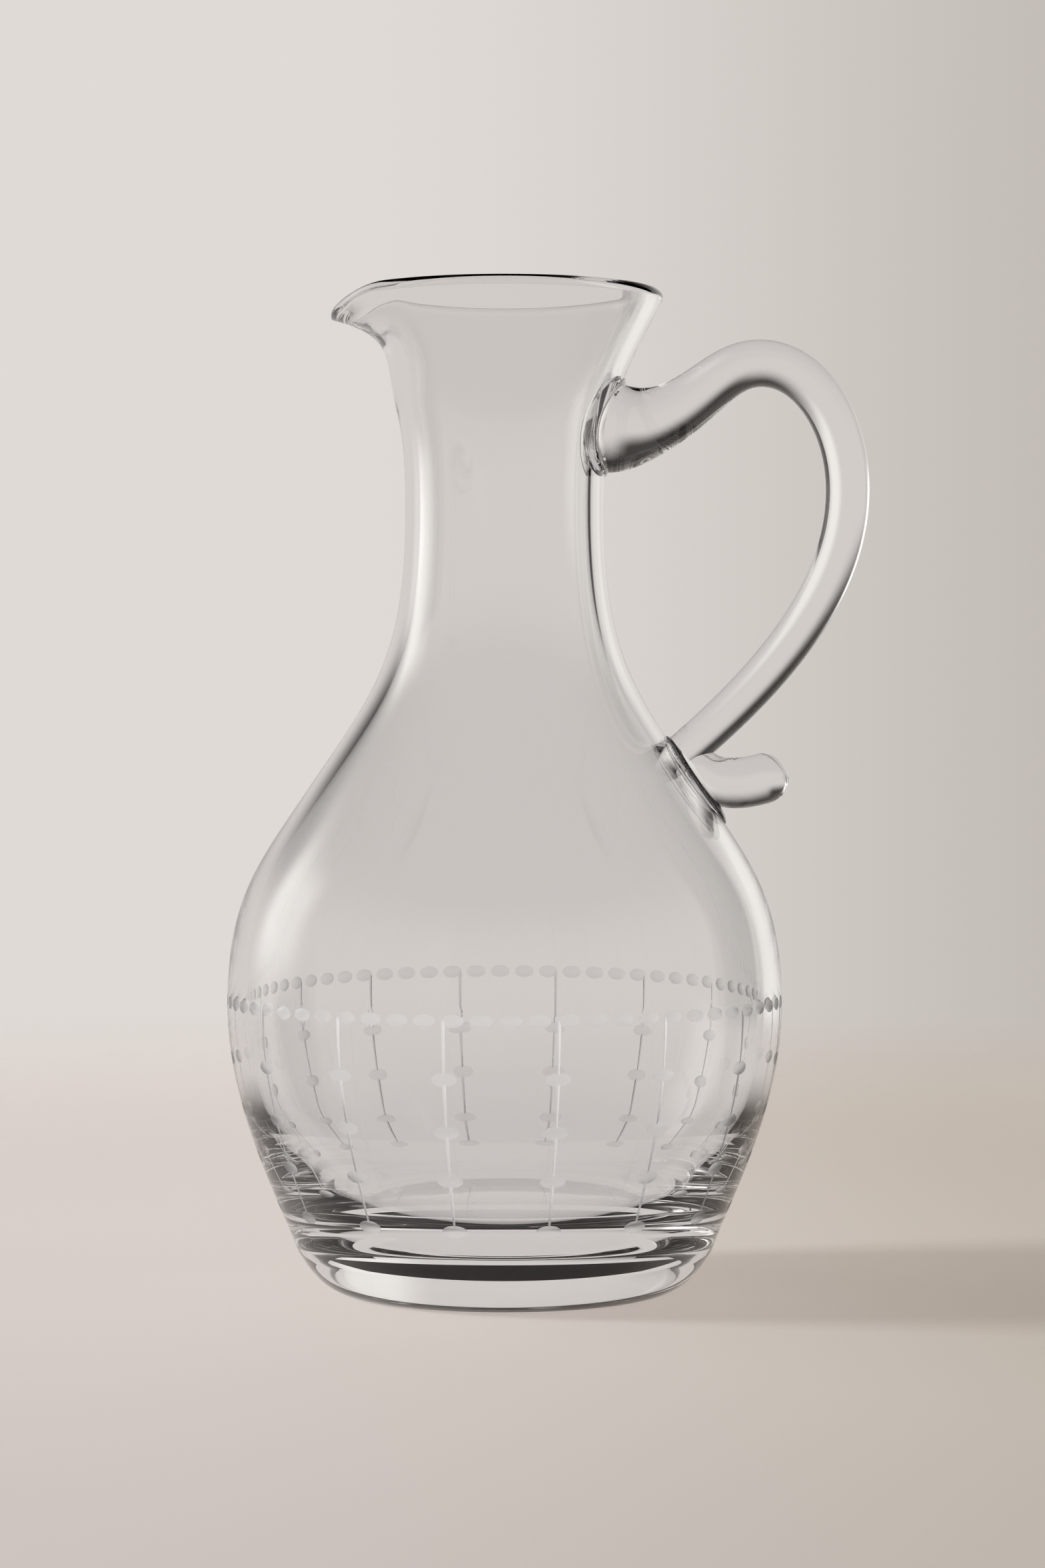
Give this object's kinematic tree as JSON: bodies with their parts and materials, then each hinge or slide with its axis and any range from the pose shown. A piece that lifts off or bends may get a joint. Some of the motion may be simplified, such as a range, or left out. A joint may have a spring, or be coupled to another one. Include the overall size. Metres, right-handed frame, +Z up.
{
  "type": "glass pitcher",
  "caption": "Clear blown glass pitcher with a pear-shaped body, thick base, flared mouth drawn into a pouring lip, and an applied solid glass loop handle ending in a folded stub.",
  "frame": {"origin": "centre of the flat underside, on the vessel's axis", "axes": "+Z up along the vessel's axis, +X towards the handle, -X towards the pouring lip, the XZ plane is the mirror plane"},
  "size_m": [0.1603, 0.1386, 0.2489],
  "materials": {
    "vessel_glass": "clear, fire-polished, with matte cut ovals and lines on the belly",
    "handle_glass": "clear, fire-polished",
    "pad_glass": "clear, fire-polished"
  },
  "bodies": {
    "root": {"body": "vessel_glass", "handle": "handle_glass", "upper_handle_pad": "pad_glass", "lower_handle_pad": "pad_glass"}
  },
  "joints": []
}
